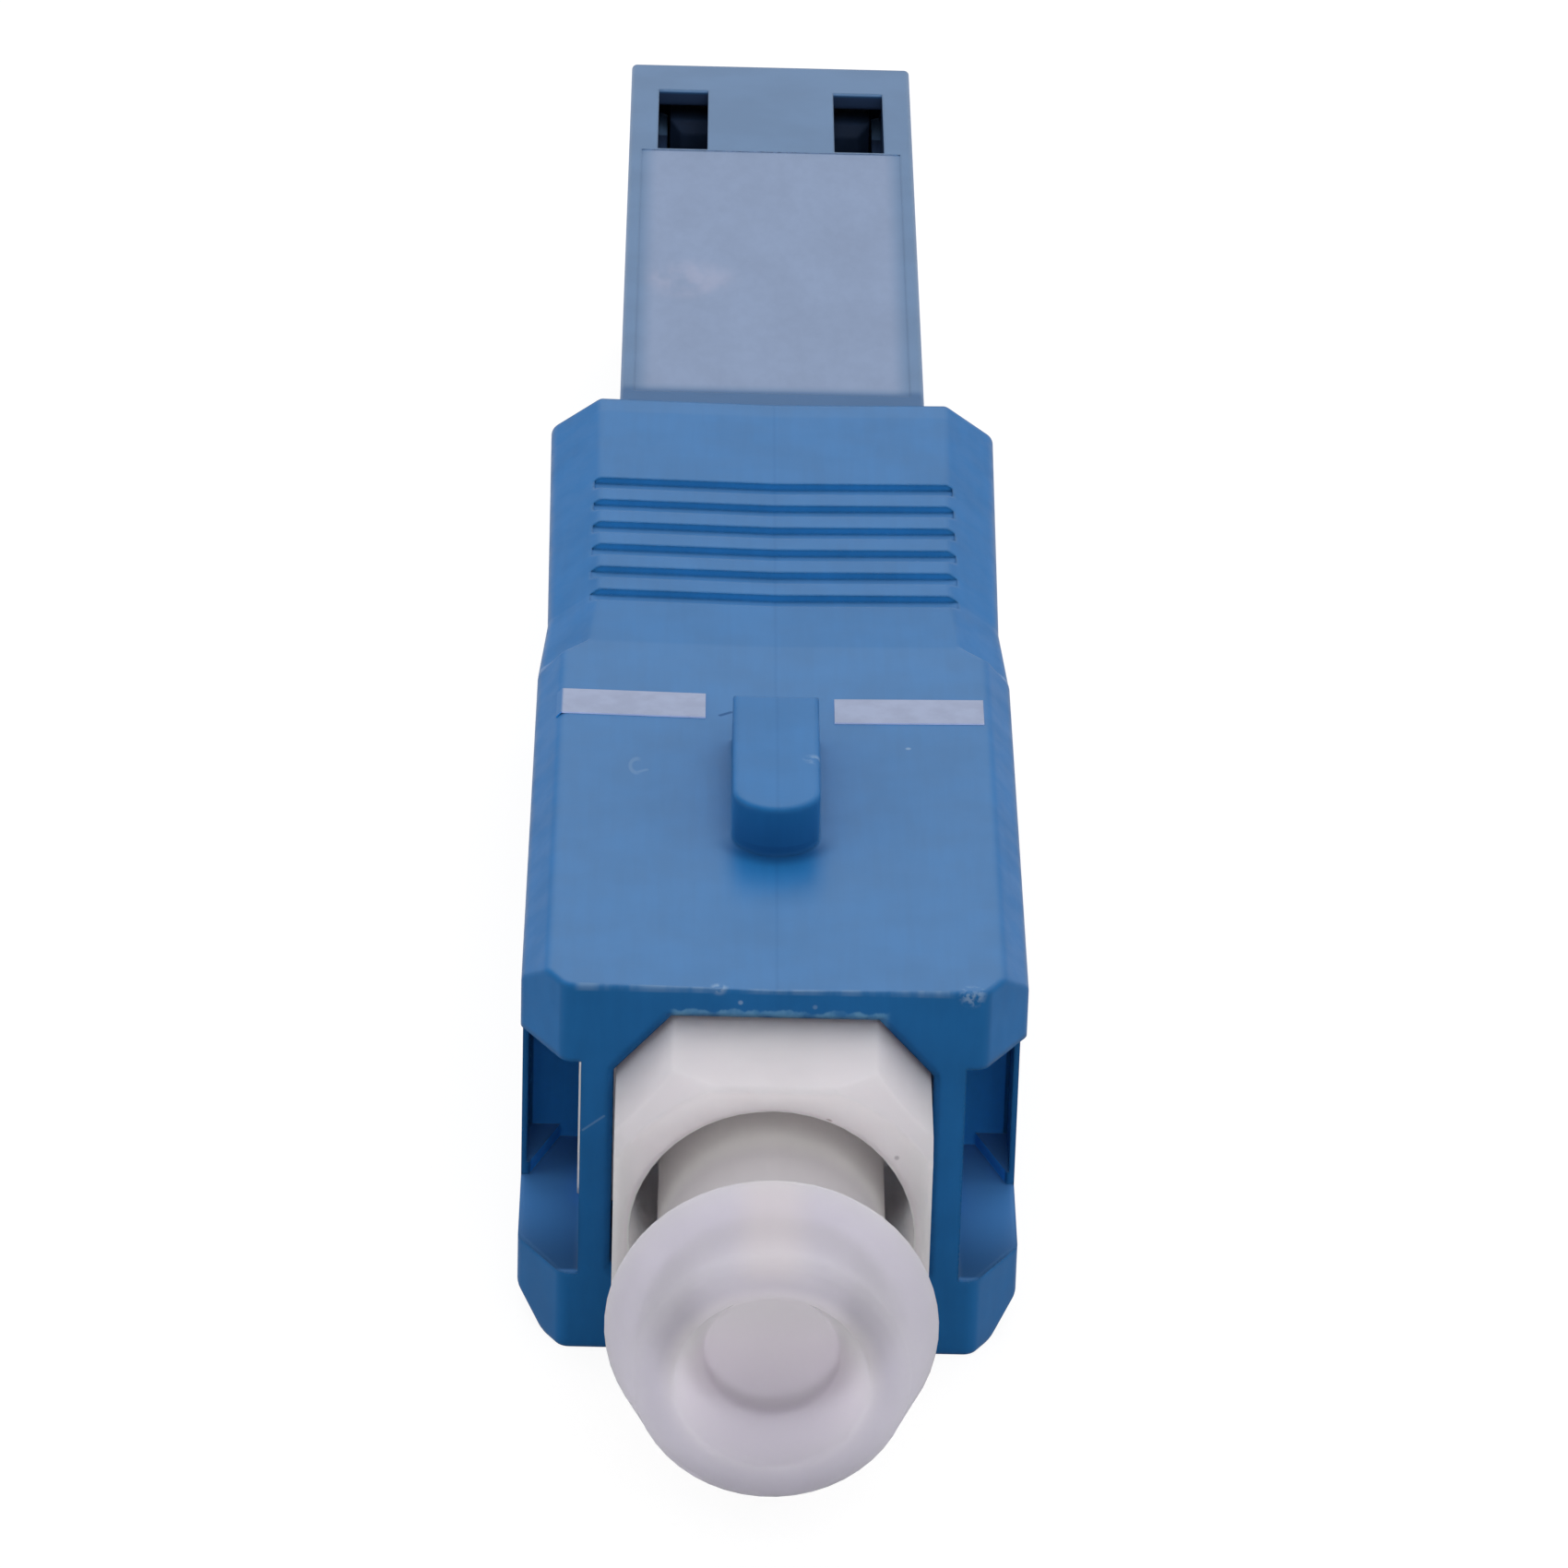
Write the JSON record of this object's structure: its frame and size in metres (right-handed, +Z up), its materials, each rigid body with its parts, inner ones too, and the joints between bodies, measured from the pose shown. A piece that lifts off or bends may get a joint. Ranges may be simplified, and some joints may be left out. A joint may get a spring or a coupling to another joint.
{
  "type": "hybrid fibre adapter",
  "caption": "Slim fibre-optic adapter: a keyed push-pull plug with a sprung ferrule and dust cap on one end, and a square latch socket with a split sleeve and a dust plug on the other.",
  "frame": {"origin": "on the plane the housing rests on, under the middle of the whole part with its cap and plug", "axes": "+Y along the optical axis, out of the plugged square socket; +Z up, to the side with the key; +X to the right seen from the capped plug"},
  "size_m": [0.009, 0.058, 0.0083],
  "materials": {
    "housing_blue": "satin moulded",
    "print_white": "pad print",
    "frame_white": "moulded",
    "zirconia": "ground",
    "flange_steel": "turned",
    "spring_steel": "drawn wire",
    "fibre_glass": "clear",
    "holder_white": "moulded",
    "socket_blue": "satin panel",
    "cap_frosted": "frosted, translucent",
    "plug_black": "soft moulded"
  },
  "bodies": {
    "inner": {"plug_frame": "frame_white", "lc_receptacle": "socket_blue", "sleeve_holder": "holder_white", "split_sleeve": "zirconia", "ferrule_spring": "spring_steel"},
    "housing": {"coupling_housing": "housing_blue", "insertion_marks": "print_white"},
    "ferrule": {"sc_ferrule": "zirconia", "ferrule_flange": "flange_steel", "lc_stub_ferrule": "zirconia", "optical_fibre": "fibre_glass"},
    "cap": {"dust_cap": "cap_frosted"},
    "plug": {"socket_plug": "plug_black"}
  },
  "joints": [
    {"name": "housing_slide", "type": "slide", "parent": "inner", "child": "housing", "axis": [0, -1, 0], "range_m": [0, 0.0015]},
    {"name": "ferrule_float", "type": "slide", "parent": "inner", "child": "ferrule", "axis": [0, 1, 0], "range_m": [0, 0.0008], "stiffness_N_per_m": 2000, "deforming": ["ferrule_spring"]},
    {"name": "cap_pull", "type": "slide", "parent": "ferrule", "child": "cap", "axis": [0, -1, 0], "range_m": [0, 0.012]},
    {"name": "plug_pull", "type": "slide", "parent": "inner", "child": "plug", "axis": [0, 1, 0], "range_m": [0, 0.012]}
  ]
}
